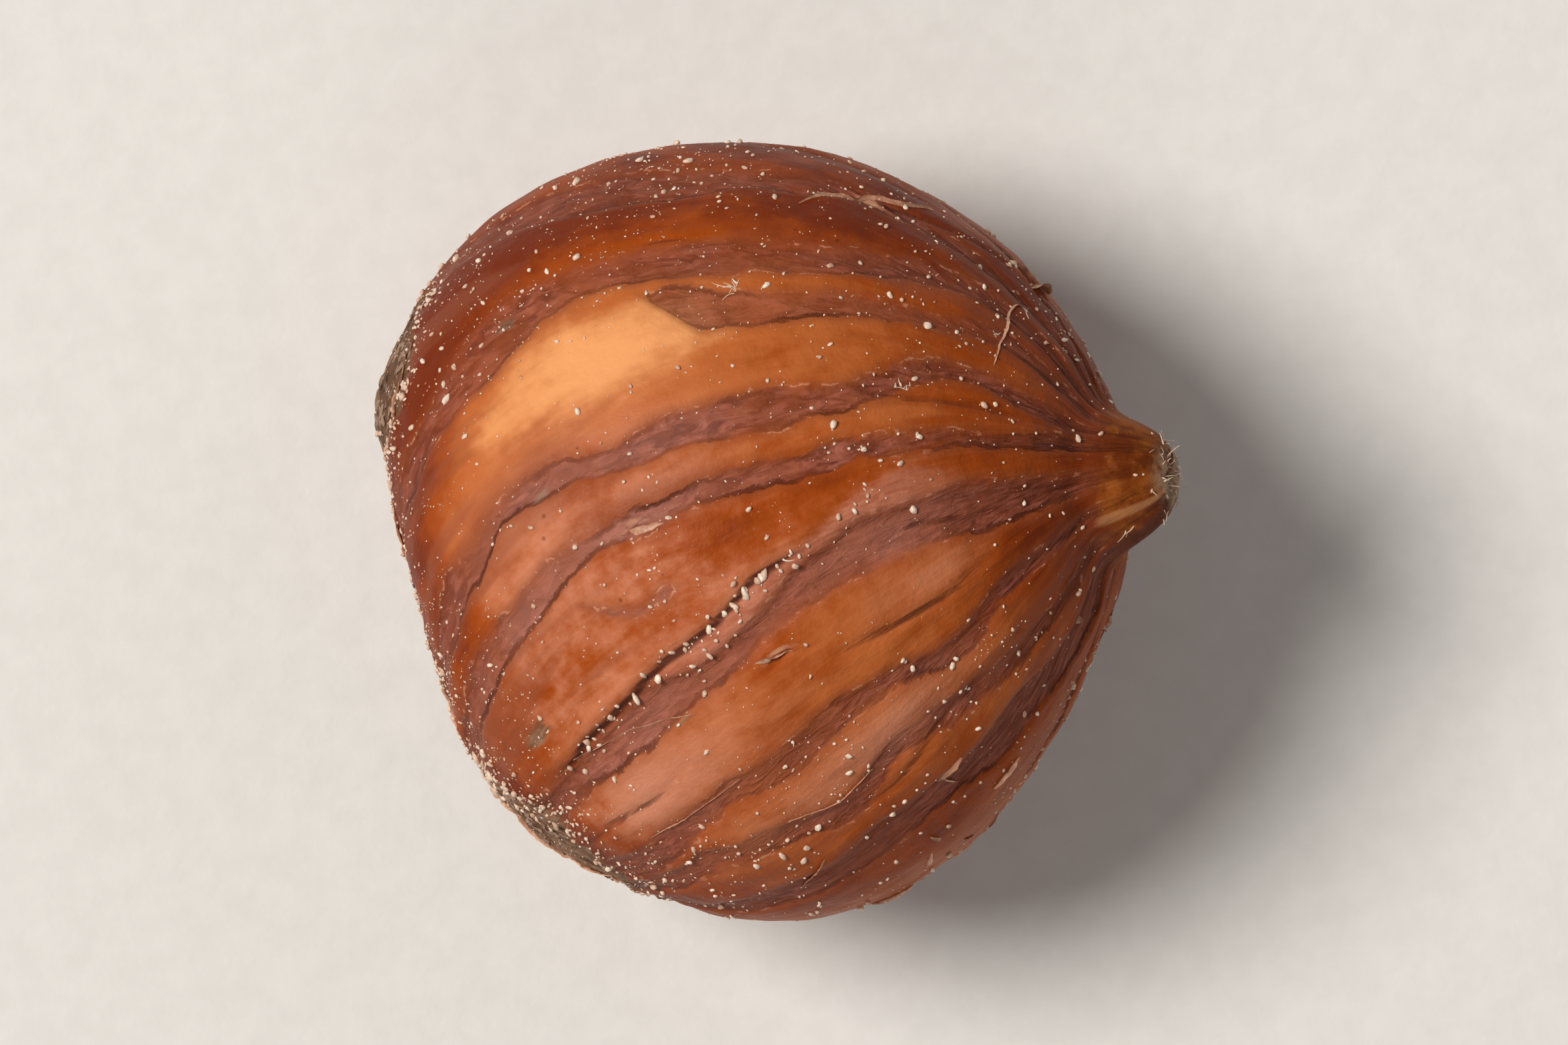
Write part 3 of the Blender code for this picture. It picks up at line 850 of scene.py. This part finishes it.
def lumps(name, d, size, stretch, flatten, sink, heading=None, tint=None, fineness=2):
    """Small irregular rounded bodies sitting on the skin at the directions d."""
    ball, faces = ball_template(fineness)
    points, normal, u, v, _ = perch(d)
    count = len(d)
    spin = dice.uniform(0, 2 * math.pi, count) if heading is None else heading
    c, q = np.cos(spin)[:, None], np.sin(spin)[:, None]
    a, b = c * u + q * v, -q * u + c * v
    shift = dice.uniform(0, 200, (count, 1, 3))
    knobs = wave((ball[None] * 1.15 + shift).reshape(-1, 3), 61).reshape(count, -1)
    knobs += 0.5 * wave((ball[None] * 2.6 + shift).reshape(-1, 3), 62).reshape(count, -1)
    body = ball[None] * (1 + 0.36 * np.clip(knobs, -1.6, 1.6))[..., None]
    body = body * np.stack([size * stretch, size, size * flatten], 1)[:, None, :]
    tilt = dice.normal(0, 0.30, (count, 2))
    up = normed(normal + tilt[:, :1] * a + tilt[:, 1:] * b)
    a = normed(a - (a * up).sum(1)[:, None] * up)
    b = np.cross(up, a)
    seat = points + normal * (size * flatten * sink)[:, None]
    verts = seat[:, None] + body[..., :1] * a[:, None] + body[..., 1:2] * b[:, None] + body[..., 2:] * up[:, None]
    verts[..., 2] = np.maximum(verts[..., 2], 0.002)
    every = (faces[None] + (np.arange(count) * len(ball))[:, None, None]).reshape(-1, 3)
    piece = add_mesh(name, verts.reshape(-1, 3), every.tolist())
    tint = dice.random(count) if tint is None else tint
    add_field(piece.data, "tint", np.repeat(tint, len(ball)))
    return piece


def heading_of(d, towards):
    """Spin that points a piece's length along the surface direction towards."""
    points, normal, u, v, _ = perch(d)
    return np.arctan2((towards * v).sum(1), (towards * u).sum(1))


def grain_weight(d, points, fields):
    w = np.full(len(d), 0.55)
    w += 1.9 * np.exp(-(((fields["cork"] + 3.0) / 4.5) ** 2))
    w += 0.9 * np.exp(-(((fields["cork"] + 10.0) / 7.0) ** 2))
    w += 0.55 * np.exp(-((fields["vein"] / 0.16) ** 2)) + 0.5 * np.exp(-((fields["line"] / 0.15) ** 2))
    w += 1.5 * np.exp(-((angle_to(d, (198.0, 20.0)) / 15.0) ** 2)) + 0.9 * np.exp(-((angle_to(d, (86.0, 16.0)) / 20.0) ** 2))
    w += 0.9 * np.exp(-((angle_to(d, (300.0, -25.0)) / 18.0) ** 2)) + 0.9 * np.exp(-((angle_to(d, (110.0, -38.0)) / 16.0) ** 2))
    w *= 0.45 + 1.1 * step(-0.35, 0.55, waves(d * 2.3, 2, 71))
    w *= 0.35 + 1.6 * step(0.0, 0.7, wave(d * 13.0, 74))
    w *= 1 - 0.72 * np.exp(-((wrapped(fields["psi"] - 52) / 7.0) ** 2) - ((fields["along"] - 0.45) / 0.14) ** 2)
    w *= 1 - 0.55 * np.exp(-((wrapped(fields["psi"] + 1) / 7.0) ** 2) - ((fields["along"] - 0.55) / 0.14) ** 2)
    w *= 1 - 0.55 * fields["beak"]
    w *= 1 - 0.6 * step(4.0, 12.0, fields["cork"])
    return w


def loose_grains():
    d = scatter(2300, grain_weight)
    count = len(d)
    size = np.clip(dice.lognormal(math.log(0.0235), 0.46, count), 0.011, 0.068)
    return lumps(
        "pale_grains", d, size, dice.uniform(1.0, 1.8, count), dice.uniform(0.7, 1.0, count), dice.uniform(0.15, 0.6, count),
        tint=dice.beta(1.3, 1.1, count),
    )


def fine_grains():
    """Fine scurf, thick along the rims of the nut and near the cork."""
    def weigh(d, points, fields):
        w = grain_weight(d, points, fields)
        w += 2.6 * np.exp(-((angle_to(d, (196.0, 22.0)) / 17.0) ** 2)) + 1.6 * np.exp(-((angle_to(d, (150.0, 20.0)) / 16.0) ** 2))
        w += 1.6 * np.exp(-((angle_to(d, (95.0, 24.0)) / 22.0) ** 2)) + 1.3 * np.exp(-((angle_to(d, (236.0, 14.0)) / 16.0) ** 2))
        return w * (0.3 + 1.4 * step(0.0, 0.6, wave(d * 8.0, 75)))
    d = scatter(4200, weigh, 4)
    count = len(d)
    size = np.clip(dice.lognormal(math.log(0.0125), 0.34, count), 0.007, 0.025)
    return lumps(
        "fine_grains", d, size, dice.uniform(1.0, 1.9, count), dice.uniform(0.7, 1.0, count), dice.uniform(0.2, 0.6, count),
        tint=dice.beta(1.3, 1.1, count), fineness=1,
    )


def fold_grains():
    """Close-set oval grains across the groove under the fold, like a ladder."""
    shares = np.arange(0.255, 0.640, 0.0062)
    shares = shares + dice.normal(0, 0.0030, len(shares))
    keep = dice.random(len(shares)) < np.interp(shares, [0.25, 0.34, 0.37, 0.55, 0.64], [0.15, 0.30, 0.78, 0.78, 0.40])
    shares = shares[keep]
    psi = np.interp(shares, ROWS, FOLD_LINE)
    d = on_sphere(shares, psi - 0.9 + dice.normal(0, 0.60, len(shares)))
    more = np.concatenate([shares[::3], shares[1::4]])
    d2 = on_sphere(more + 0.003, np.interp(more, ROWS, FOLD_LINE) - dice.uniform(1.6, 4.4, len(more)))
    strong = np.exp(-(((shares - 0.43) / 0.09) ** 2))
    size = np.clip(dice.lognormal(math.log(0.030), 0.38, len(shares)) * (0.85 + 0.5 * strong), 0.014, 0.066)
    size2 = np.clip(dice.lognormal(math.log(0.026), 0.40, len(more)), 0.012, 0.055)
    stretch = np.concatenate([dice.uniform(1.2, 2.3, len(shares)), dice.uniform(1.0, 1.8, len(more))])
    d = normed(np.vstack([d, d2]))
    across = on_sphere(np.concatenate([shares, more]), np.interp(np.concatenate([shares, more]), ROWS, FOLD_LINE) + 1.0)
    across = normed(across - d)
    heading = heading_of(d, across) + dice.normal(0, 0.30, len(d))
    heading[len(shares):] = dice.uniform(0, 6.3, len(more))
    size = np.concatenate([size, size2])
    return lumps(
        "fold_grains", d, size, stretch, np.full(len(d), 0.85), np.full(len(d), 0.45), heading, dice.uniform(0.15, 1.0, len(d))
    )


def edge_grains():
    """Grains packed along the rim of the cork."""
    def weigh(d, points, fields):
        lobes = np.exp(-((angle_to(d, (143.0, 8.0)) / 14.0) ** 2)) + np.exp(-((angle_to(d, (218.0, 10.0)) / 18.0) ** 2))
        clumps = 0.06 + step(-0.05, 0.70, waves(d * 4.0, 2, 72)) + 0.45 * np.minimum(lobes, 1.0)
        return np.exp(-(((fields["cork"] + 1.5) / 3.4) ** 2)) * clumps + 1e-9
    d = scatter(760, weigh, 16, BASE_OUT, 0.62)
    count = len(d)
    size = np.clip(dice.lognormal(math.log(0.028), 0.42, count), 0.013, 0.070)
    return lumps(
        "cork_grains", d, size, dice.uniform(1.0, 2.2, count), dice.uniform(0.6, 1.0, count), dice.uniform(0.2, 0.7, count),
        tint=dice.uniform(0.1, 0.9, count),
    )


def grain_material():
    n = Net("pale_grain")
    mm = n.place()
    spots = n.noise(mm, 14.0, 2.0, 0.6)
    colour = n.mix(n.field("tint"), (0.560, 0.330, 0.215), (0.860, 0.720, 0.580))
    colour = n.mix(n.ramp(spots, 0.42, 0.68, 0.0, 0.5), colour, (0.480, 0.250, 0.150))
    return n.finish(Base_Color=colour, Roughness=n.ramp(spots, 0.3, 0.7, 0.30, 0.55), Normal=n.bump(n.times(spots, 0.012)), IOR=1.5)


def closed_strip(rings):
    """Faces and verts of a closed tube through rings, an array (stations, around, 3)."""
    stations, around, _ = rings.shape
    index = np.arange(stations * around).reshape(stations, around)
    after = np.roll(index, -1, axis=1)
    faces = np.stack([index[:-1], after[:-1], after[1:], index[1:]], -1).reshape(-1, 4).tolist()
    faces.append(index[0][::-1].tolist())
    faces.append(index[-1].tolist())
    return rings.reshape(-1, 3), faces


def skin_strip(path, width, lift, thick=0.016, curl=1.6, rise=0.0, rough=0.012, seed=0):
    """A thin curled strip of skin along path, (along, psi) pairs: one long edge
    is grown on, the other stands up by lift. Closed, with its own thickness."""
    path = np.array(path, float)
    # Even stations along the path.
    knots = np.linspace(0, 1, len(path))
    count = max(9, int(6 + 16 * np.linalg.norm(np.diff(on_sphere(path[:, 0], path[:, 1]), axis=0), axis=1).sum() * 7.3))
    t = np.linspace(0, 1, count)
    reach = max(1, count // (2 * len(path)))
    window = np.hanning(2 * reach + 3)[1:-1]

    def eased(values):
        line = np.interp(t, knots, values)
        line = np.concatenate([2 * line[0] - line[reach:0:-1], line, 2 * line[-1] - line[-2 : -reach - 2 : -1]])
        return np.convolve(line, window / window.sum(), mode="valid")

    d = normed(on_sphere(eased(path[:, 0]), eased(path[:, 1])))
    wobble = wave(np.stack([t * 5.0, np.full(count, seed * 1.3), np.zeros(count)], 1), 81 + seed)
    points, normal, _, _, _ = perch(d)
    tangent = normed(np.gradient(points, axis=0))
    side = normed(np.cross(normal, tangent))
    points = points + side * (0.022 * wobble)[:, None]
    taper = np.clip(np.sin(math.pi * np.clip(t * 0.96 + 0.02, 0, 1)) ** 0.45, 0.12, 1.0)
    taper *= 1 + 0.22 * wave(np.stack([t * 9.0, np.full(count, seed * 2.1), np.ones(count)], 1), 82 + seed)
    across = np.linspace(-1, 1, 6)
    rings = []
    for i in range(count):
        x = across * width * taper[i]
        z = rise + lift * taper[i] * ((across + 1) / 2) ** curl
        z = z + rough * wave(np.stack([across * 1.7, np.full(6, t[i] * 13), np.full(6, seed + 0.5)], 1), 83)
        z[0] = -0.02
        x = x - 0.35 * lift * taper[i] * ((across + 1) / 2) ** 3
        top = points[i] + x[:, None] * side[i] + z[:, None] * normal[i]
        low = points[i] + x[:, None] * side[i] + (z - thick * taper[i] - 0.002)[:, None] * normal[i]
        rings.append(np.vstack([low, top[::-1]]))
    return closed_strip(np.array(rings))


def hair(start, heading, length, thick, bend, sides=5, stations=7, seed=0):
    """A tapered, bent fibre. Closed."""
    t = np.linspace(0, 1, stations)
    heading = heading / np.linalg.norm(heading)
    path = start + heading * (t * length)[:, None] + bend * (t[:, None] ** 2) * length
    tangent = normed(np.gradient(path, axis=0))
    u = normed(np.cross(tangent, [0.3, 0.5, 0.81]))
    v = np.cross(tangent, u)
    angle = np.linspace(0, 2 * math.pi, sides, endpoint=False)
    radius = thick * (1 - 0.75 * t)
    rings = path[:, None] + radius[:, None, None] * (np.cos(angle)[None, :, None] * u[:, None] + np.sin(angle)[None, :, None] * v[:, None])
    return closed_strip(rings)


def join(name, parts, tints=None):
    verts, faces, tint, at = [], [], [], 0
    for k, (some_verts, some_faces) in enumerate(parts):
        verts.append(some_verts)
        faces += [[i + at for i in face] for face in some_faces]
        tint.append(np.full(len(some_verts), 0.5 if tints is None else tints[k]))
        at += len(some_verts)
    verts = np.vstack(verts)
    verts[:, 2] = np.maximum(verts[:, 2], 0.002)
    piece = add_mesh(name, verts, faces)
    piece.data.set_sharp_from_angle(angle=math.radians(50))
    add_field(piece.data, "tint", np.concatenate(tint))
    return piece


def skin_flakes():
    parts, tints = [], []

    def strip(path, width, lift, tint, **more):
        parts.append(skin_strip(path, width, lift, seed=len(parts), **more))
        tints.append(tint)

    # Seen from above: threads and lifted edges of skin.
    strip(((0.118, 88.0), (0.127, 83.5), (0.127, 66.2), (0.136, 52.0)), 0.030, 0.045, 0.55, thick=0.03, curl=0.7)
    strip(((0.287, 77.0), (0.271, 81.7), (0.247, 86.2), (0.225, 89.1), (0.212, 96.0)), 0.045, 0.075, 0.45)
    strip(((0.142, 120.0), (0.139, 113.0), (0.134, 106.0)), 0.110, 0.210, 0.60, curl=1.2)
    strip(((0.475, 31.6), (0.455, 30.5), (0.436, 30.0)), 0.060, 0.080, 0.50)
    strip(((0.438, 6.9), (0.422, 6.2), (0.405, 5.2)), 0.070, 0.085, 0.75)
    strip(((0.651, 11.6), (0.610, 10.0), (0.577, 9.2), (0.545, 7.4), (0.514, 5.8)), 0.028, 0.035, 0.70, thick=0.02)
    strip(((0.660, -7.4), (0.620, -8.2), (0.585, -8.0), (0.529, -7.8)), 0.028, 0.035, 0.50, thick=0.02)
    strip(((0.530, -20.0), (0.480, -24.0), (0.430, -23.0)), 0.026, 0.030, 0.40, thick=0.02)
    # The same on the hidden sides.
    for _ in range(26):
        at, psi = dice.uniform(0.14, 0.62), dice.uniform(100, 325)
        step_at, step_psi = dice.uniform(-0.035, 0.035), dice.uniform(-5, 5)
        path = [(at + step_at * k, psi + step_psi * k * 0.8) for k in (-1, -0.3, 0.4, 1)]
        strip(path, dice.uniform(0.025, 0.075), dice.uniform(0.03, 0.10), dice.uniform(0.2, 0.8))
    # A crinkled pale edge of skin along the rim of the cork.
    for az0, az1, el0, el1 in ((206, 216, -3, 3), (214, 226, 1, 3), (225, 235, 2, 6), (137, 148, 15, 17), (190, 199, 14, 16), (160, 172, 15, 15), (236, 243, 0, -10)):
        azimuths = np.linspace(az0, az1, 5)
        elevations = np.linspace(el0, el1, 5) + dice.normal(0, 0.30, 5)
        d = np.array([unit(a, e) for a, e in zip(azimuths, elevations)])
        along, psi = vein_place(d)
        strip(list(zip(along, psi)), dice.uniform(0.05, 0.08), dice.uniform(0.06, 0.11), dice.uniform(0.5, 0.9), rough=0.03)
    # None lies squashed under the resting spot.
    clear = [k for k, (verts, _) in enumerate(parts) if verts[:, 2].min() > 0.01]
    return join("skin_flakes", [parts[k] for k in clear], [tints[k] for k in clear])


def flake_material():
    n = Net("skin_flake")
    mm = n.place()
    spots = n.noise(mm, 7.0, 3.0, 0.6)
    colour = n.mix(n.field("tint"), (0.420, 0.150, 0.060), (0.740, 0.470, 0.320))
    colour = n.mix(n.ramp(spots, 0.38, 0.66, 0.0, 0.65), colour, (0.300, 0.100, 0.045))
    return n.finish(Base_Color=colour, Roughness=0.5, Normal=n.bump(n.times(spots, 0.02)), IOR=1.45)


def tufts():
    """Small ragged tufts of scurf, and the fibres on the beak's end."""
    parts, tints = [], []
    stars = [(0.216, 40.6, 8, 0.36), (0.328, 58.5, 8, 0.31), (0.365, 18.0, 6, 0.26), (0.135, 64.0, 5, 0.14), (0.118, 86.0, 5, 0.16)]
    for _ in range(12):
        stars.append((dice.uniform(0.15, 0.6), dice.uniform(95, 330), int(dice.integers(4, 8)), dice.uniform(0.12, 0.24)))
    for at, psi, count, length in stars:
        d = normed(on_sphere(np.array([at]), np.array([psi])))
        point, normal, u, v, _ = perch(d)
        lean = dice.uniform(0, 2 * math.pi)
        for k in range(count):
            spin = lean + dice.normal(0, 1.15)
            out = math.cos(spin) * u[0] + math.sin(spin) * v[0]
            sway = np.cross(normal[0], out)
            start = point[0] + out * dice.uniform(-0.2, 0.3) * length + sway * dice.normal(0, 0.22) * length - normal[0] * 0.01
            stout = k < 2
            parts.append(
                hair(
                    start,
                    out + normal[0] * dice.uniform(0.05, 0.45),
                    length * (dice.uniform(0.28, 0.42) if stout else dice.uniform(0.5, 1.1)),
                    dice.uniform(0.026, 0.034) if stout else dice.uniform(0.011, 0.020),
                    sway * dice.normal(0, 0.55) - normal[0] * 0.30,
                )
            )
            tints.append(dice.uniform(0.5, 1.0))
    for _ in range(64):
        off, spin = abs(dice.normal(0, 3.4)), dice.uniform(0, 2 * math.pi)
        off = min(off + 0.6, 8.5)
        o = math.radians(off)
        d = normed((math.cos(o) * BEAK_OUT + math.sin(o) * (math.cos(spin) * BEAK_UP + math.sin(spin) * BEAK_SIDE))[None])
        point, normal, u, v, _ = perch(d)
        outward = d[0] - BEAK_OUT * (d[0] @ BEAK_OUT)
        outward = outward / max(np.linalg.norm(outward), 1e-6)
        heading = 0.55 * normal[0] + outward * dice.uniform(0.2, 1.0) + dice.normal(0, 0.35, 3)
        parts.append(hair(point[0] - normal[0] * 0.015, heading, dice.uniform(0.07, 0.22), dice.uniform(0.010, 0.018), dice.normal(0, 0.45, 3)))
        tints.append(dice.uniform(0.3, 1.0))
    return join("scurf_fibres", parts, tints)


def fibre_material():
    n = Net("scurf_fibre")
    spots = n.noise(n.place(), 9.0, 2.0, 0.6)
    colour = n.mix(n.field("tint"), (0.520, 0.320, 0.180), (0.820, 0.680, 0.540))
    colour = n.mix(n.ramp(spots, 0.45, 0.70, 0.0, 0.5), colour, (0.350, 0.190, 0.100))
    return n.finish(Base_Color=colour, Roughness=0.6, IOR=1.45)


def cork_scales():
    """Thin torn flakes of cork that lie flat on the scar and overlap."""
    def weigh(d, points, fields):
        lobes = np.exp(-((angle_to(d, (143.0, 6.0)) / 11.0) ** 2)) + np.exp(-((angle_to(d, (221.0, 5.0)) / 13.0) ** 2))
        w = 0.05 + 0.55 * np.exp(-(((fields["cork"] - 1.5) / 2.2) ** 2)) + 0.9 * lobes
        return w * step(-1.0, 1.5, fields["cork"]) * (0.25 + step(-0.2, 0.5, waves(d * 6.0, 2, 73))) + 1e-9
    d = scatter(640, weigh, 10, BASE_OUT, 0.55)
    points, normal, u, v, fields = perch(d)
    parts, tints, limits = [], [], []
    radial = normed(d - (d @ BASE_OUT)[:, None] * BASE_OUT)
    for k in range(len(d)):
        along_it = radial[k] - (radial[k] @ normal[k]) * normal[k]
        along_it /= np.linalg.norm(along_it)
        combed = dice.random() < 0.60
        twist = dice.normal(0, 0.35) if combed else dice.uniform(0, 6.3)
        side = np.cross(normal[k], along_it)
        a = math.cos(twist) * along_it + math.sin(twist) * side
        b = np.cross(normal[k], a)
        pitch, roll = dice.normal(0, 0.10), dice.normal(0, 0.10)
        n1 = normal[k] - pitch * a - roll * b
        n1 /= np.linalg.norm(n1)
        a = a - (a @ n1) * n1
        a /= np.linalg.norm(a)
        b = np.cross(n1, a)
        corners = int(dice.integers(8, 13))
        angle = np.linspace(0, 2 * math.pi, corners, endpoint=False) + dice.normal(0, 0.16, corners)
        size = float(np.clip(dice.lognormal(math.log(0.070), 0.42), 0.030, 0.17))
        reach = size * dice.uniform(0.55, 1.20, corners)
        stretch = dice.uniform(1.3, 2.3) if combed else dice.uniform(0.9, 1.35)
        x, y = np.cos(angle) * reach * stretch, np.sin(angle) * reach / math.sqrt(stretch)
        thick = dice.uniform(0.008, 0.020)
        bow = -(x * x + y * y) / 13.0 + dice.normal(0, 0.35) * y * y / 0.12 * 0.3
        seat = points[k] + normal[k] * dice.uniform(-0.012, 0.010)
        top = seat + x[:, None] * a + y[:, None] * b + (bow + thick)[:, None] * n1
        low = seat + 0.92 * x[:, None] * a + 0.92 * y[:, None] * b + (bow - 0.008)[:, None] * n1
        crown = seat + n1 * (thick * 1.35)
        under = seat - n1 * 0.018
        verts = np.vstack([top, low, crown[None], under[None]])
        faces = []
        for i in range(corners):
            j = (i + 1) % corners
            faces.append([i, j, 2 * corners])
            faces.append([corners + j, corners + i, 2 * corners + 1])
            faces.append([i, corners + i, corners + j, j])
        parts.append((verts, faces))
        tints.append(dice.random())
        limits.append(np.r_[np.full(corners, 0.036), np.full(corners, 0.012), 0.042, 0.0])
    # No flake stands far off the scar.
    every = np.vstack([verts for verts, _ in parts])
    out = normed(every - CENTRE)
    ground = surface(out)[0]
    over = ((every - ground) * out).sum(1)
    every = ground + out * np.minimum(over, np.concatenate(limits))[:, None]
    laid = np.split(every, np.cumsum([len(verts) for verts, _ in parts])[:-1])
    return join("cork_scales", [(verts, faces) for verts, (_, faces) in zip(laid, parts)], tints)


def scale_material():
    n = Net("cork_scale")
    mm = n.place()
    spots = n.noise(mm, 6.0, 4.0, 0.7)
    colour = n.mix(n.field("tint"), (0.120, 0.055, 0.032), (0.320, 0.188, 0.124))
    colour = n.mix(n.ramp(spots, 0.42, 0.66, 0.0, 0.7), colour, (0.430, 0.300, 0.220))
    colour = n.mix(n.ramp(spots, 0.44, 0.30, 0.0, 0.6), colour, (0.075, 0.036, 0.021))
    return n.finish(Base_Color=colour, Roughness=0.9, Normal=n.bump(n.times(spots, 0.06)), IOR=1.45)


grain_look = grain_material()
for piece, look in (
    (loose_grains(), grain_look),
    (fine_grains(), grain_look),
    (fold_grains(), grain_look),
    (edge_grains(), grain_look),
    (skin_flakes(), flake_material()),
    (tufts(), fibre_material()),
    (cork_scales(), scale_material()),
):
    piece.data.materials.append(look)
    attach(piece, "root")


# ------------------------------------------------------------ floor, lights
def floor_piece():
    points = []
    rings, sides = 24, 96
    for i in range(1, rings + 1):
        r = 1500.0 * (i / rings) ** 3
        for k in range(sides):
            a = 2 * math.pi * k / sides
            points.append((r * math.cos(a), r * math.sin(a), 0.0))
    points.append((0.0, 0.0, 0.0))
    middle = len(points) - 1
    faces = [[middle, k, (k + 1) % sides] for k in range(sides)]
    for i in range(rings - 1):
        for k in range(sides):
            a, b = i * sides + k, i * sides + (k + 1) % sides
            faces.append([a, a + sides, b + sides, b])
    return add_mesh("studio_floor", points, faces)


floor = floor_piece()
paint = Net("studio_paper")
tooth = paint.noise(paint.place(), 1.4, 3.0, 0.6)
floor.data.materials.append(
    paint.finish(
        Base_Color=paint.mix(paint.ramp(tooth, 0.3, 0.7), (0.700, 0.680, 0.650), (0.730, 0.710, 0.680)),
        Roughness=0.9,
        Normal=paint.bump(paint.times(tooth, 0.02)),
    )
)

world = bpy.data.worlds.new("soft_room")
world.use_nodes = True
world.node_tree.nodes["Background"].inputs["Color"].default_value = (1.0, 0.975, 0.95, 1.0)
world.node_tree.nodes["Background"].inputs["Strength"].default_value = 0.17
bpy.context.scene.world = world

AIM = Vector((-0.3 * MM, 0.0, 6.5 * MM))


def area_light(name, azimuth, elevation, distance, size, power, colour):
    data = bpy.data.lights.new(name, "AREA")
    data.shape = "DISK"
    data.size = size
    data.energy = power
    data.color = colour
    lamp = bpy.data.objects.new(name, data)
    lamp.location = AIM + Vector(unit(azimuth, elevation)) * distance
    lamp.rotation_euler = (AIM - lamp.location).to_track_quat("-Z", "Y").to_euler()
    bpy.context.scene.collection.objects.link(lamp)


# The picture's right is at azimuth -15 degrees, so its left is at 165.
area_light("key", 150.0, 58.0, 0.60, 0.24, 3.70, (1.0, 0.970, 0.93))
area_light("fill", 255.0, 34.0, 0.70, 0.40, 0.55, (1.0, 0.98, 0.96))
area_light("rim", 20.0, 40.0, 0.70, 0.40, 0.25, (0.95, 0.97, 1.0))

camera_data = bpy.data.cameras.new("camera")
camera_data.sensor_width = 36.0
camera_data.lens = 400.0
camera_data.clip_start = 0.01
camera_data.clip_end = 10.0
camera = bpy.data.objects.new("camera", camera_data)
VIEW_WIDTH = 0.0300  # width of the floor that the frame covers at the nut
camera.location = (-0.2 * MM, -0.05 * MM, 6.5 * MM + VIEW_WIDTH * 400.0 / 36.0)
camera.rotation_euler = (0.0, 0.0, math.radians(-15.0))
bpy.context.scene.collection.objects.link(camera)
bpy.context.scene.camera = camera

bpy.context.scene.view_settings.view_transform = "Standard"
bpy.context.scene.view_settings.look = "None"
bpy.context.scene.view_settings.exposure = 0.0
